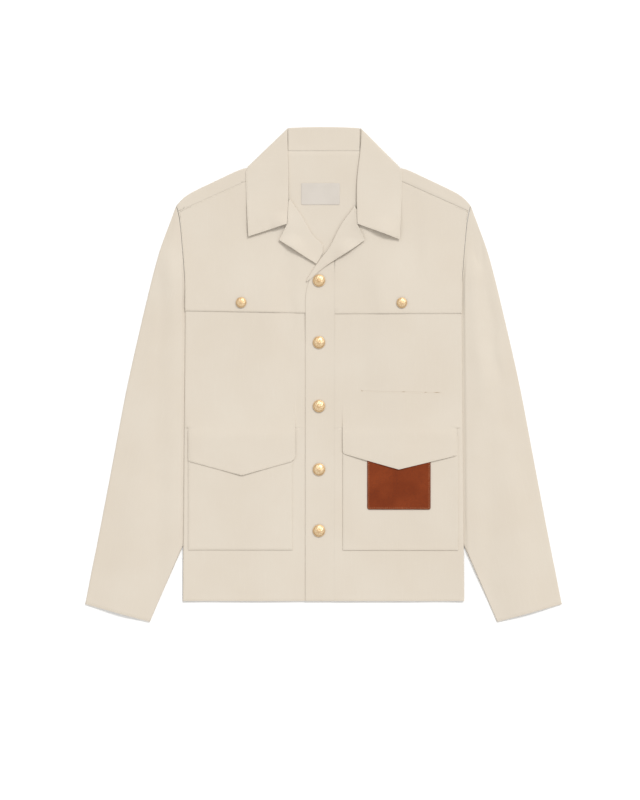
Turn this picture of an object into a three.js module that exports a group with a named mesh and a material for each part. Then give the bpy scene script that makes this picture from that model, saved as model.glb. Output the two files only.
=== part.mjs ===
// Work jacket laid flat on its back, front up. Millimetres, +X to the wearer's left, +Y to the collar, +Z up.
// Every cloth piece is a wall worked out from an outer surface: a grid of sections, thickened inwards.
import * as THREE from 'three';
import { mergeGeometries, mergeVertices } from 'three/addons/utils/BufferGeometryUtils.js';

// Driving sizes
const WALL = 1.0;            // cloth thickness
const SEAM = 0.3;            // gap between two pieces that are sewn edge to edge
const CLEAR = 0.45;          // gap between cloth and the cloth that lies on it
const LAYER = WALL + CLEAR;
const HEM_Y = -361;          // lower edge of the body
const NECK_Y = 358.7;        // back neck seam
const YOKE_Y = 101;          // lower edge of both front yokes
const YOKE_LAP = 11;         // how far the fronts run up under the yokes
const SLIT_Y = -84;          // where the flaps of the lower pockets come free
const FRONT_EDGE_X = -29;    // front edge of the wearer's left side, which lies on top
const PLACKET_X = 17.6;      // seam of the front band
const UNDER_EDGE_X = 12;     // hidden edge of the wearer's right side
const SIDE_SETBACK = 1.6;    // the edge of the back stays inside the fronts, which turn down over it
const SHOULDER_FOLD = 1.2;   // radius of the back where it turns forward over the shoulder
const SLEEVE_HEIGHT = 2.4;   // a pressed sleeve where the body lies on it
const SLEEVE_LOFT = 3.2;     // how much its visible side swells
const SWELL = 1.5;           // how much the fronts swell above the back
const COLLAR_FOLD = 2.2;     // how round the collar is where it turns forward at the shoulder
const FLARE = 3.4;           // how far the free edge of a lapel or collar leaf stands off
const STRAIGHT_TOP = 150;    // up to here the rows of back and yokes are level

// Outline of the body, half of it: armhole and side, from the hem up
const SIDE_EDGE = [
  { y: -361, x: 225 }, { y: 95, x: 221 }, { y: 150, x: 221 }, { y: 200, x: 225 },
  { y: 250, x: 229.5 }, { y: 271, x: 235.2 }, { y: 287.3, x: 222.6 },
];
// Top of the back from the armhole to the middle: its outline, and the forward shoulder seam
const SHOULDER = [
  { hemX: 223.4, x: 235.2, y: 271, seamX: 232.4, seamY: 262.5 },
  { hemX: 205, x: 222.6, y: 287.3, seamX: 217, seamY: 269.5 },
  { hemX: 180, x: 190, y: 302.6, seamX: 187, seamY: 282.7 },
  { hemX: 152, x: 157, y: 318.1, seamX: 155, seamY: 297 },
  { hemX: 122, x: 125, y: 333.1, seamX: 124, seamY: 310.7 },
  { hemX: 112, x: 117, y: 329.8, seamX: 116, seamY: 313.8 },
];
const SHOULDER_OUT = new THREE.Vector2(0.4246, 0.9054);     // square to the slope of the shoulder
const BACK_NECK = [
  { hemX: 98, x: 101, y: 343.5 }, { hemX: 84, x: 86, y: NECK_Y },
  { hemX: 60, x: 61, y: NECK_Y }, { hemX: 30, x: 30, y: NECK_Y },
];
// Sleeve rings from the armhole to the cuff: the pressed tube's outer edge, where it passes under the
// side of the body, and its inner edge
const SLEEVE = [
  { outX: 236, outY: 270.4, sideX: 221.9, sideY: 150, inX: 150, inY: 80 },
  { outX: 249, outY: 235, sideX: 222.4, sideY: 140, inX: 140, inY: 50 },
  { outX: 262.5, outY: 200, sideX: 222.2, sideY: 124, inX: 131, inY: 20 },
  { outX: 275, outY: 152, sideX: 221.6, sideY: 97, inX: 122, inY: -5 },
  { outX: 287, outY: 102, sideX: 221.6, sideY: 50, inX: 117, inY: -32 },
  { outX: 302, outY: 38, sideX: 222.6, sideY: -8.6, inX: 131, inY: -62 },
  { outX: 317, outY: -30, sideX: 223.2, sideY: -72, inX: 150, inY: -105 },
  { outX: 331, outY: -107, sideX: 223.8, sideY: -147, inX: 176, inY: -165 },
  { outX: 345.6, outY: -184, sideX: 224.3, sideY: -219.8, inX: 203, inY: -226 },
  { outX: 360, outY: -260, sideX: 242, sideY: -287.6, inX: 232, inY: -290 },
  { outX: 372, outY: -318, sideX: 267, sideY: -344.6, inX: 257, inY: -347 },
  { outX: 381, outY: -366, sideX: 288, sideY: -391.6, inX: 277.6, inY: -394.4 },
];
const LAP_ROW = YOKE_Y + YOKE_LAP + 1;
const STRAIGHT_ROWS = [YOKE_Y, LAP_ROW, 130, STRAIGHT_TOP];
const ARMHOLE_ROWS = [175, 200, 225, 250];

// Helpers for numbers
const clamp = THREE.MathUtils.clamp;
const lerp = THREE.MathUtils.lerp;

function ease(value, from, to) {
  const t = clamp((value - from) / (to - from), 0, 1);
  return t * t * (3 - 2 * t);
}

function lookUp(table, key, column, value) {
  const rising = table[table.length - 1][key] > table[0][key];
  const rows = rising ? table : [...table].reverse();
  if (value <= rows[0][key]) return rows[0][column];
  for (let i = 1; i < rows.length; i += 1) {
    if (value <= rows[i][key]) {
      const share = (value - rows[i - 1][key]) / (rows[i][key] - rows[i - 1][key]);
      return lerp(rows[i - 1][column], rows[i][column], share);
    }
  }
  return rows[rows.length - 1][column];
}

function sideX(y) {
  return lookUp(SIDE_EDGE, 'y', 'x', y);
}

// Rows keep one height across a panel up to the last straight row, then fan out to its top edge
function rowAt(station, topY, stationTop) {
  if (station <= STRAIGHT_TOP) return station;
  return lerp(STRAIGHT_TOP, topY, (station - STRAIGHT_TOP) / (stationTop - STRAIGHT_TOP));
}

function spread(from, to, count) {
  return Array.from({ length: count + 1 }, (_, i) => lerp(from, to, i / count));
}

// Heights of the layers. The back climbs onto the sleeves, whose inner edges slope out below a point,
// and onto the collar fall.
const UNDER_SLEEVE = { x: 112, y: -24, slope: 0.4508, reach: 85, from: 215, full: STRAIGHT_TOP };
const OVER_FALL = { from: 262, full: 327, outer: 190, inner: 127 };
const SWOLLEN = { halfWidth: 222, none: 345, full: 230 };
const CLIMB = { from: 85, full: 20 };
const BAND_RISE_Y = 55;

function sleeveLift(x, y) {
  const inner = UNDER_SLEEVE.x + Math.max(0, UNDER_SLEEVE.y - y) * UNDER_SLEEVE.slope;
  const across = ease(Math.abs(x), inner - UNDER_SLEEVE.reach, inner);
  return (SLEEVE_HEIGHT + CLEAR) * ease(y, UNDER_SLEEVE.from, UNDER_SLEEVE.full) * across;
}

function collarLift(x, y) {
  const across = ease(Math.abs(x), OVER_FALL.outer, OVER_FALL.inner);
  return LAYER * ease(y, OVER_FALL.from, OVER_FALL.full) * across;
}

function backUnder(x, y) {
  return sleeveLift(x, y) + collarLift(x, y);
}

function swell(x, y) {
  const share = Math.min(Math.abs(x) / SWOLLEN.halfWidth, 1);
  return SWELL * Math.sin(Math.PI * share) ** 2 * ease(y, SWOLLEN.none, SWOLLEN.full);
}

// Underside of layer n above the back. The wearer's left side climbs onto the right one near the placket.
function under(n, x, y, side = -1) {
  const climb = side > 0 ? ease(x, CLIMB.from, CLIMB.full) : 0;
  return backUnder(x, y) + swell(x, y) + LAYER * (n + climb);
}

function topOf(n, x, y, side = -1) {
  return under(n, x, y, side) + WALL;
}

// Yokes rise at their lower edge, over the tops of the fronts
function yokeRise(y) {
  return ease(y, STRAIGHT_TOP, LAP_ROW);
}

function placketRise(y) {
  return ease(y, BAND_RISE_Y, YOKE_Y) * yokeRise(y);
}

// Helpers for cloth: an open grid of points, several joined, and the wall that they become
function grid(columns, rows, place) {
  const points = [];
  const faces = [];
  rows.forEach((v) => columns.forEach((u) => points.push(...place(u, v))));
  for (let i = 0; i < rows.length - 1; i += 1) {
    for (let j = 0; j < columns.length - 1; j += 1) {
      const a = i * columns.length + j;
      const b = a + columns.length;
      faces.push(a, a + 1, b + 1, a, b + 1, b);
    }
  }
  const sheet = new THREE.BufferGeometry();
  sheet.setAttribute('position', new THREE.Float32BufferAttribute(points, 3));
  sheet.setIndex(faces);
  return sheet;
}

function turned(sheet) {
  const index = sheet.index.array;
  for (let i = 0; i < index.length; i += 3) {
    [index[i], index[i + 1]] = [index[i + 1], index[i]];
  }
  return sheet;
}

// A grid mirrored to the other side of the body faces inwards there, so its faces are turned
function faceOut(sheet, isRight) {
  return isRight ? sheet : turned(sheet);
}

function thicken(sheets, wall = WALL) {
  const sheet = mergeVertices(mergeGeometries(sheets), 1e-3);
  sheet.computeVertexNormals();
  const outer = sheet.attributes.position;
  const normal = sheet.attributes.normal;
  const index = Array.from(sheet.index.array);
  const points = Array.from(outer.array);
  for (let i = 0; i < outer.count; i += 1) {
    points.push(
      outer.getX(i) - normal.getX(i) * wall,
      outer.getY(i) - normal.getY(i) * wall,
      outer.getZ(i) - normal.getZ(i) * wall,
    );
  }
  const faces = [...index];
  const edges = new Set();
  for (let i = 0; i < index.length; i += 3) {
    const [a, b, c] = index.slice(i, i + 3);
    faces.push(c + outer.count, b + outer.count, a + outer.count);
    [[a, b], [b, c], [c, a]].forEach(([p, q]) => edges.add(`${p},${q}`));
  }
  edges.forEach((edge) => {
    const [p, q] = edge.split(',').map(Number);
    if (!edges.has(`${q},${p}`)) {
      faces.push(q, p, p + outer.count, q, p + outer.count, q + outer.count);
    }
  });
  const solid = new THREE.BufferGeometry();
  solid.setAttribute('position', new THREE.Float32BufferAttribute(points, 3));
  solid.setIndex(faces);
  solid.computeVertexNormals();
  return solid;
}

// Materials
const cloth = new THREE.MeshStandardMaterial({ color: 0xe3d9c8, roughness: 0.92, metalness: 0 });
const labelCloth = new THREE.MeshStandardMaterial({ color: 0xe6e6e4, roughness: 0.8, metalness: 0 });
const leather = new THREE.MeshStandardMaterial({ color: 0x843a1c, roughness: 0.55, metalness: 0 });
const brass = new THREE.MeshStandardMaterial({ color: 0xd8b46e, roughness: 0.3, metalness: 1 });

const group = new THREE.Group();

function add(name, geometry, material) {
  const mesh = new THREE.Mesh(geometry, material);
  mesh.name = name;
  group.add(mesh);
  return mesh;
}

const SIDES = [{ side: -1, name: 'right' }, { side: 1, name: 'left' }];

// Back: one panel that also turns forward over each shoulder as far as the seam
function buildBack() {
  const half = [...SHOULDER, ...BACK_NECK];
  const mirror = (row) => ({ ...row, hemX: -row.hemX, x: -row.x });
  const middle = { hemX: 0, x: 0, y: NECK_Y };
  const columns = [...half.map(mirror), middle, ...[...half].reverse()];
  const tip = SHOULDER[0];
  const rows = [...spread(HEM_Y, 75, 14), ...STRAIGHT_ROWS, ...ARMHOLE_ROWS, tip.y];
  const inset = (row) => ('seamX' in row ? SHOULDER_FOLD : 0);
  const panel = grid(columns, rows, (row, station) => {
    const topX = row.x - Math.sign(row.x) * SHOULDER_OUT.x * inset(row);
    const topY = row.y - SHOULDER_OUT.y * inset(row);
    const y = rowAt(station, topY, tip.y);
    const v = (y - HEM_Y) / (topY - HEM_Y);
    const hemShare = row.hemX / SHOULDER[0].hemX;
    const topShare = topX / sideX(topY);
    const edge = sideX(y) - SIDE_SETBACK * ease(y, STRAIGHT_TOP, YOKE_Y);
    const x = station === tip.y ? topX : lerp(hemShare, topShare, v) * edge;
    return [x, y, backUnder(x, y)];
  });
  const strips = SIDES.map(({ side }) => {
    const turns = spread(-90, 90, 4);
    const sheet = grid([...SHOULDER].reverse(), [...turns, 'seam'], (row, turn) => {
      if (turn === 'seam') {
        const x = side * row.seamX;
        return [x, row.seamY, topOf(1, x, row.seamY)];
      }
      const angle = THREE.MathUtils.degToRad(turn);
      const back = SHOULDER_FOLD * (1 - Math.cos(angle));
      const x = side * (row.x - SHOULDER_OUT.x * back);
      const y = row.y - SHOULDER_OUT.y * back;
      const low = backUnder(x, y);
      return [x, y, lerp(low, topOf(1, x, y), (1 + Math.sin(angle)) / 2)];
    });
    return faceOut(sheet, side < 0);
  });
  add('back', thicken([turned(panel), ...strips]), cloth);
}

// Fronts: their side edge turns down over the edge of the back
const SIDE_CURL = [
  { inset: 6, drop: 0 }, { inset: 1.6, drop: 0.1 }, { inset: 0.4, drop: 0.6 }, { inset: 0, drop: 1.6 },
];
const CURL_GAP = 0.1;        // how far the turned-down edge stays above what it reaches
const PANEL_CELLS = 8;       // cells across a panel

function sideStations(innerX, count) {
  const edge = SIDE_EDGE[0].x - SIDE_CURL[0].inset;
  const flat = spread(innerX, edge, count).map((x) => ({ x, inset: null, drop: 0 }));
  const curl = SIDE_CURL.slice(1).map(({ inset, drop }) => ({ x: null, inset, drop }));
  return [...flat, ...curl, { x: null, inset: 0, drop: null }];
}

function frontPoint(side, station, y, innerX, height) {
  const edge = sideX(y);
  const scale = (edge - SIDE_CURL[0].inset - innerX) / (SIDE_EDGE[0].x - SIDE_CURL[0].inset - innerX);
  const reach = station.x === null ? edge - station.inset : innerX + (station.x - innerX) * scale;
  const x = side * reach;
  const z = station.drop === null ? backUnder(x, y) + CURL_GAP : height(x, y) - station.drop;
  return [x, y, z];
}

const FLAP = {
  right: [
    { x: -216.3, y: -137 }, { x: -173, y: -148.6 }, { x: -130.4, y: -160 }, { x: -91, y: -149 },
    { x: -52.5, y: -138.5 }, { x: -47, y: -134 }, { x: -45, y: -128 },
  ],
  left: [
    { x: 30.5, y: -120 }, { x: 31.6, y: -124 }, { x: 34.6, y: -126.2 }, { x: 77, y: -138.4 },
    { x: 120, y: -150.5 }, { x: 166, y: -139.5 }, { x: 213, y: -128.4 },
  ],
};
const POCKET = {
  right: { outX: 216.3, inX: -49.3, top: -97, bottom: -279.6 },
  left: { outX: 215.2, inX: 30.9, top: -97, bottom: -279.6 },
};
const PATCH = { x0: 69.9, x1: 170.9, top: -130, bottom: -214.6 };
const FLAP_CLIMB = { frontY: -50, patchY: -98, patchLeft: 45, patchRight: 40, margin: 1 };
const SLIT_STRIP = 0.5;      // width beside a slit over which the flap's height begins
const SLIT_CALM = 4;         // and a wider one that stays level with the lower front

// The flap climbs over the lower front, then the pocket, then the leather patch
function flapLayer(x, y) {
  const { frontY, patchY, patchLeft, patchRight, margin } = FLAP_CLIMB;
  const overFront = ease(y, frontY, SLIT_Y + margin);
  const overPocket = ease(y, SLIT_Y, POCKET.left.top + margin);
  const fromLeft = ease(x, PATCH.x0 - patchLeft, PATCH.x0 - 2 * margin);
  const fromRight = ease(x, PATCH.x1 + patchRight, PATCH.x1 + 2 * margin);
  const overPatch = ease(y, patchY, PATCH.top + margin) * fromLeft * fromRight;
  return 1 + overFront + overPocket + overPatch;
}

function buildUpperFront({ side, name }) {
  const innerX = side > 0 ? PLACKET_X + SEAM : -UNDER_EDGE_X;
  const flap = side > 0 ? FLAP.left : [...FLAP.right].reverse();
  const slit = Math.abs(flap[0].x);
  const level = (x, y) => topOf(1, x, y, side);
  const rim = sideStations(innerX, PANEL_CELLS).slice(-SIDE_CURL.length);
  const reaches = [innerX, slit - SLIT_CALM, slit - SLIT_STRIP, ...flap.map((point) => Math.abs(point.x))];
  const columns = [...reaches.map((x) => ({ x, inset: null, drop: 0 })), ...rim];
  const panel = grid(columns, spread(YOKE_Y + YOKE_LAP, SLIT_Y, 7), (station, y) => {
    if (station.x === null) return frontPoint(side, station, y, innerX, level);
    const x = side * station.x;
    const layer = station.x < slit ? 1 : flapLayer(x, y);
    return [x, y, topOf(layer, x, y, side)];
  });
  const tongue = grid(flap, spread(0, 1, 6), (point, v) => {
    const y = lerp(SLIT_Y, point.y, v);
    return [point.x, y, topOf(flapLayer(point.x, y), point.x, y, side)];
  });
  const sheets = [panel, tongue].map((sheet) => faceOut(sheet, side < 0));
  add(`front_${name}`, thicken(sheets), cloth);
}

function buildLowerFront({ side, name }) {
  const innerX = side > 0 ? PLACKET_X + SEAM : -UNDER_EDGE_X;
  const level = (x, y) => topOf(1, x, y, side);
  const sheet = grid(sideStations(innerX, PANEL_CELLS), spread(SLIT_Y - SEAM, HEM_Y, 10), (station, y) => (
    frontPoint(side, station, y, innerX, level)
  ));
  add(`lower_front_${name}`, thicken([faceOut(sheet, side < 0)]), cloth);
}

function buildLowerPocket({ side, name }) {
  const { inX, outX, top, bottom } = POCKET[name];
  const sheet = grid(spread(Math.abs(inX), outX, 7), spread(top, bottom, 8), (reach, y) => {
    const x = side * reach;
    return [x, y, topOf(2, x, y, side)];
  });
  add(`lower_pocket_${name}`, thicken([faceOut(sheet, side < 0)]), cloth);
}

// Roll lines: where each front edge turns back as a lapel, with the lapel's outer edge
const LAPEL = {
  right: [
    { rollX: -53.5, rollY: 283, outX: -55.9, outY: 277 },
    { rollX: -45, rollY: 269.5, outX: -56.6, outY: 262 },
    { rollX: -34, rollY: 254, outX: -58, outY: 241.7 },
    { rollX: -25, rollY: 238, outX: -64.5, outY: 228.5 },
    { rollX: -17.6, rollY: 223.6, outX: -70.9, outY: 215.9 },
    { rollX: -6, rollY: 214, outX: -52, outY: 204 },
    { rollX: 0.3, rollY: 208, outX: -31.5, outY: 190.5 }, { rollX: -1, rollY: 196, outX: -11.2, outY: 178 },
  ],
  left: [
    { rollX: 49.5, rollY: 271, outX: 52.3, outY: 265 },
    { rollX: 40, rollY: 257, outX: 52.8, outY: 252 },
    { rollX: 30, rollY: 245, outX: 53.4, outY: 242 },
    { rollX: 23, rollY: 232, outX: 60, outY: 229 },
    { rollX: 16.8, rollY: 219.6, outX: 65.8, outY: 215.9 },
    { rollX: 10.5, rollY: 206, outX: 47, outY: 202 },
    { rollX: 2.6, rollY: 195, outX: 26, outY: 189 }, { rollX: -6.4, rollY: 185, outX: 7, outY: 177 },
    { rollX: -15.5, rollY: 171, outX: -6.5, outY: 167 },
    { rollX: -23.5, rollY: 159, outX: -17, outY: 156 },
    { rollX: -28.3, rollY: 150.5, outX: -26.4, outY: 149.4 },
  ],
};
const ROLL_SETBACK = 3.8;    // how far a yoke's edge stays behind the fold of its lapel
const ROLL_TOP = 9;          // this far below its top a roll line passes under the collar's

function rollX(name, y) {
  const roll = LAPEL[name];
  return y > roll[0].rollY - ROLL_TOP ? LEAF[name][0].rollX : lookUp(roll, 'rollY', 'rollX', y);
}

const YOKE = { hiddenReaches: [60, 88], hiddenSlope: 0.44, setback: 0.42, topStation: 262 };

function buildYoke({ side, name }) {
  const neck = SHOULDER[SHOULDER.length - 1];
  const reaches = [...YOKE.hiddenReaches, ...[...SHOULDER].reverse().map((row) => row.seamX)];
  const seamTop = (reach) => {
    const rise = YOKE.hiddenSlope * Math.max(0, neck.seamX - reach);
    return lookUp(SHOULDER, 'seamX', 'seamY', reach) + rise - YOKE.setback;
  };
  const rows = [...STRAIGHT_ROWS, ...ARMHOLE_ROWS, YOKE.topStation];
  const level = (x, y) => topOf(1 + yokeRise(y), x, y, side);
  const sheet = grid(reaches, rows, (topReach, station) => {
    const u = (topReach - reaches[0]) / (SHOULDER[0].seamX - reaches[0]);
    const y = rowAt(station, seamTop(topReach), YOKE.topStation);
    const roll = rollX(name, y) + side * ROLL_SETBACK;
    const inner = side > 0 ? Math.max(PLACKET_X + SEAM, roll) : Math.min(UNDER_EDGE_X, roll);
    const x = station === YOKE.topStation ? side * topReach : lerp(inner, side * sideX(y), u);
    return [x, y, level(x, y)];
  });
  add(`yoke_${name}`, thicken([faceOut(sheet, side > 0)]), cloth);
}

// Front band of the wearer's left side. Above its free edge it runs on under the lapel.
const BAND = { freeY: 147, topWidth: 2, upperRows: [78, YOKE_Y, 112, 130, 148, 160, 172, 185, 200, 212] };

function buildPlacket() {
  const rows = [...spread(HEM_Y, BAND_RISE_Y, 14), ...BAND.upperRows];
  const sheet = grid(spread(0, 1, 2), rows, (u, y) => {
    const roll = Math.min(rollX('left', y) + ROLL_SETBACK, PLACKET_X - BAND.topWidth);
    const edge = y > BAND.freeY ? roll : FRONT_EDGE_X;
    const x = lerp(edge, PLACKET_X, u);
    return [x, y, topOf(2 + placketRise(y), x, y)];
  });
  add('placket', thicken([sheet]), cloth);
}

const ROLL_LIP = [
  { inset: 0.3, rise: -0.7 },
  { inset: 0, rise: 0.2 },
  { inset: 0.4, rise: LAYER - 0.35 },
  { inset: 1.4, rise: LAYER },
];
const LAPEL_SHARES = [0.3, 0.65, 1];
const LIP_SHARE = 0.25;      // the lip of a narrow row takes no more of it than this
const STAND_OFF = { none: 300, full: 232 };      // heights between which lapels and leaves begin to stand off
const NARROW = { below: 210, none: 4, full: 30 };   // below the notch a narrow lapel lies flatter

function buildLapel({ side, name }) {
  const rows = LAPEL[name];
  const columns = [...ROLL_LIP, ...LAPEL_SHARES.map((share) => ({ share }))];
  const level = (x, y) => topOf(1 + (x > FRONT_EDGE_X && side > 0 ? yokeRise(y) : 0), x, y, side);
  const sheet = grid(columns, rows, (column, row) => {
    const span = Math.hypot(row.outX - row.rollX, row.outY - row.rollY);
    const lip = 'inset' in column;
    const share = lip ? Math.min(column.inset / span, LIP_SHARE) : column.share;
    const x = lerp(row.rollX, row.outX, share);
    const y = lerp(row.rollY, row.outY, share);
    const calm = row.outY < NARROW.below ? ease(span, NARROW.none, NARROW.full) : 1;
    const flare = FLARE * share * share * ease(row.outY, STAND_OFF.none, STAND_OFF.full) * calm;
    return [x, y, level(x, y) + (lip ? column.rise : LAYER + flare)];
  });
  add(`lapel_${name}`, thicken([faceOut(sheet, side < 0)]), cloth);
}

// Collar: it folds over its stand at the back, turns forward at each shoulder and ends in a leaf
const COLLAR_TOP_Y = 394.9;
const LEAF = {
  right: [
    { rollX: -58, rollY: 394.2, outX: -121.4, outY: 333.4 },
    { rollX: -57.4, rollY: 376, outX: -124.6, outY: 325 },
    { rollX: -56.4, rollY: 350, outX: -124, outY: 305 },
    { rollX: -55.8, rollY: 322, outX: -123.2, outY: 285 },
    { rollX: -55.7, rollY: 296, outX: -122.4, outY: 264 },
    { rollX: -56.6, rollY: 268, outX: -121.2, outY: 243 },
    { rollX: -58.4, rollY: 241.6, outX: -120, outY: 221.5 },
  ],
  left: [
    { rollX: 60.6, rollY: 394.2, outX: 121.4, outY: 333.4 },
    { rollX: 60, rollY: 376, outX: 125.6, outY: 325 },
    { rollX: 57.6, rollY: 350, outX: 125.4, outY: 305 },
    { rollX: 53.6, rollY: 322, outX: 124.8, outY: 285 },
    { rollX: 52.4, rollY: 296, outX: 124, outY: 262 }, { rollX: 53, rollY: 268, outX: 123, outY: 240 },
    { rollX: 54.1, rollY: 241.8, outX: 121.9, outY: 216.9 },
  ],
};
const FALL_Y = 329;
const FALL_LIP = [{ inset: 0.2, rise: 0.95 }, { inset: 0.5, rise: 0.3 }, { inset: 1.3, rise: 0 }];
const LEAF_LIP = [{ inset: 0, rise: -1.9 }, { inset: 0.35, rise: -0.5 }, { inset: 1.3, rise: 0 }];
const COLLAR_SHARES = [0.25, 0.5, 0.75, 1];
const FALL_SHARES = [0.08, 0.3, 0.5, 0.7, 0.92];
const FOLD_TURNS = [-50, 0, 50];
const FOLD_SLANT = 0.7;      // the fold at the shoulder runs slanting, so it takes this much of x and of y
const GORGE = { top: 290, bottom: 270 };     // between these the collar's rolled edge runs out at the lapel

function leafTop(x, y, side) {
  return topOf(2, x, y, side) + FLARE * ease(y, STAND_OFF.none, STAND_OFF.full);
}

function collarSections() {
  const under = FALL_SHARES.map((u) => ({
    rollX: lerp(LEAF.right[0].rollX, LEAF.left[0].rollX, u),
    rollY: COLLAR_TOP_Y,
    outX: lerp(LEAF.right[0].outX, LEAF.left[0].outX, u),
    outY: FALL_Y,
    turn: -90,
    side: u < 0.5 ? -1 : 1,
  }));
  const leaf = ({ side, name }) => LEAF[name].slice(1).map((row) => ({ ...row, turn: 90, side }));
  const fold = ({ side, name }) => FOLD_TURNS.map((turn) => ({ ...LEAF[name][0], turn, side }));
  const [right, left] = SIDES;
  return [...leaf(right).reverse(), ...fold(right).reverse(), ...under, ...fold(left), ...leaf(left)];
}

function buildCollar() {
  const columns = [0, 1, 2, ...COLLAR_SHARES.map((share) => ({ share }))];
  const sheet = grid(columns, collarSections(), (column, section) => {
    const { rollX: x0, rollY: y0, outX, outY, turn, side } = section;
    const angle = THREE.MathUtils.degToRad(turn);
    const over = (1 + Math.sin(angle)) / 2;
    const lip = typeof column === 'number';
    const span = Math.hypot(outX - x0, outY - y0);
    const low = lip ? FALL_LIP[column] : { inset: 0, rise: 0 };
    const high = lip ? LEAF_LIP[column] : { inset: 0, rise: 0 };
    const share = lip ? lerp(low.inset, high.inset, over) / span : column.share;
    const x = lerp(x0, outX, share);
    const y = lerp(y0, outY, share);
    const inset = Math.abs(turn) < 90 ? COLLAR_FOLD * (1 - Math.cos(angle)) * FOLD_SLANT : 0;
    const inwardX = x - side * inset;
    const inwardY = y - inset;
    const rolled = ease(y0, GORGE.bottom, GORGE.top);
    const top = leafTop(inwardX, inwardY, side) + high.rise * rolled;
    return [inwardX, inwardY, lerp(low.rise, top, over)];
  });
  add('collar', thicken([turned(sheet)]), cloth);
}

const STAND = {
  x0: -56.5,
  x1: 57.6,
  lift: 0.12,
  wall: 0.9,
  rows: [
    { y: NECK_Y + SEAM, drop: 0 }, { y: 376, drop: 0 }, { y: COLLAR_TOP_Y - 2, drop: 0 },
    { y: COLLAR_TOP_Y - 0.8, drop: 0.15 }, { y: COLLAR_TOP_Y, drop: 0.6 },
  ],
};

function buildStand() {
  const { x0, x1, rows, lift, wall } = STAND;
  const sheet = grid(spread(x0, x1, 4), rows, (x, row) => (
    [x, row.y, topOf(0, x, NECK_Y) + lift - row.drop]
  ));
  add('collar_stand', thicken([sheet], wall), cloth);
}

// Sleeves: pressed tubes that pass under the sides of the body below the armhole
const RING_TOP = [...spread(0, 1, 7), ...spread(1, 2, 4).slice(1)];
const RING_UNDER = [2, 1.5, 1, 0.67, 0.33, 0];
const ARMHOLE_GAP = 0.7;     // from the body's edge to the first ring
const FREE_RING = 8;         // from this ring on the sleeve's inner edge shows
const CALM_RINGS = 2;        // the sleeve swells fully from this ring on

// Share 0 is the outer edge, 1 the side of the body, 2 the inner edge. The first ring keeps to the armhole.
function ringPoint(ring, share, isFirst) {
  if (share > 1) {
    return { x: lerp(ring.sideX, ring.inX, share - 1), y: lerp(ring.sideY, ring.inY, share - 1) };
  }
  const y = lerp(ring.outY, ring.sideY, share);
  return { x: isFirst ? sideX(y) + ARMHOLE_GAP : lerp(ring.outX, ring.sideX, share), y };
}

function buildSleeve({ side, name }) {
  const outerAt = (y) => lookUp(SLEEVE, 'outY', 'outX', y);
  const innerAt = (y) => lookUp(SLEEVE.slice(FREE_RING), 'inY', 'inX', y);
  const rings = SLEEVE.map((ring, k) => {
    const first = k === 0;
    const round = 1 / Math.hypot(ring.outX - ring.sideX, ring.outY - ring.sideY);
    const roundIn = 1 / Math.hypot(ring.inX - ring.sideX, ring.inY - ring.sideY);
    const at = (share) => ringPoint(ring, clamp(share, round, 2 - roundIn), first);
    const calm = Math.min(1, k / CALM_RINGS);
    const top = RING_TOP.map((share) => {
      const p = at(share);
      const from = Math.max(sideX(p.y), innerAt(p.y));
      const w = clamp((p.x - from) / (outerAt(p.y) - from), 0, 1);
      return { ...p, z: SLEEVE_HEIGHT + SLEEVE_LOFT * calm * Math.sin(Math.PI * w) ** 2 };
    });
    const bottom = RING_UNDER.map((share) => ({ ...at(share), z: 0 }));
    const outer = { ...ringPoint(ring, 0, first), z: SLEEVE_HEIGHT / 2 };
    const inner = { ...ringPoint(ring, 2, first), z: SLEEVE_HEIGHT / 2 };
    return [outer, ...top, inner, ...bottom, outer];
  });
  const columns = rings[0].map((_, j) => j);
  const sheet = grid(columns, rings, (j, ring) => [side * ring[j].x, ring[j].y, ring[j].z]);
  add(`sleeve_${name}`, thicken([faceOut(sheet, side > 0)]), cloth);
}

// Small pieces
function buildPatch() {
  const sheet = grid(spread(PATCH.x0, PATCH.x1, 5), spread(PATCH.bottom, PATCH.top, 4), (x, y) => (
    [x, y, topOf(3, x, y, 1)]
  ));
  add('leather_patch', thicken([sheet]), leather);
}

const LABEL = { x0: -35.7, x1: 26.1, y0: 272.6, y1: 307.3, wall: 0.6 };

function buildLabel() {
  const { x0, x1, y0, y1, wall } = LABEL;
  const sheet = grid(spread(x0, x1, 4), spread(y0, y1, 3), (x, y) => (
    [x, y, backUnder(x, y) + WALL + SEAM + wall]
  ));
  add('neck_label', thicken([sheet], wall), labelCloth);
}

// Domed shank buttons: a lathe profile in shares of the radius and of the dome's rise
const FRONT_BUTTONS = { radius: 10.25, x: -7.2, ys: [151.3, 52.4, -49.4, -150.6, -248.4], firstLift: 0.3 };
const CHEST_BUTTONS = [
  { side: -1, name: 'right', x: -131.4, y: 116 },
  { side: 1, name: 'left', x: 125, y: 115.6 },
];
const CHEST_BUTTON_RADIUS = 8.75;
const BUTTON = { stem: 1.3, stemReach: 0.3, underReach: 0.86, rim: 0.8, domeRise: 0.5, gap: 0.4 };
const DOME = [
  { reach: 0.94, rise: 0.42 },
  { reach: 0.72, rise: 0.76 },
  { reach: 0.38, rise: 0.95 },
  { reach: 0, rise: 1 },
];

function buildButton(name, radius, x, y, ground) {
  const { stem, stemReach, underReach, rim, domeRise, gap } = BUTTON;
  const profile = [
    { r: 0, z: 0 }, { r: stemReach * radius, z: 0 }, { r: stemReach * radius, z: stem },
    { r: underReach * radius, z: stem }, { r: radius, z: stem + rim },
    ...DOME.map(({ reach, rise }) => ({ r: reach * radius, z: stem + rise * domeRise * radius })),
  ];
  const geometry = new THREE.LatheGeometry(profile.map(({ r, z }) => new THREE.Vector2(r, z)), 16);
  geometry.rotateX(Math.PI / 2);
  geometry.translate(x, y, ground + gap);
  add(name, geometry, brass);
}

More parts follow.
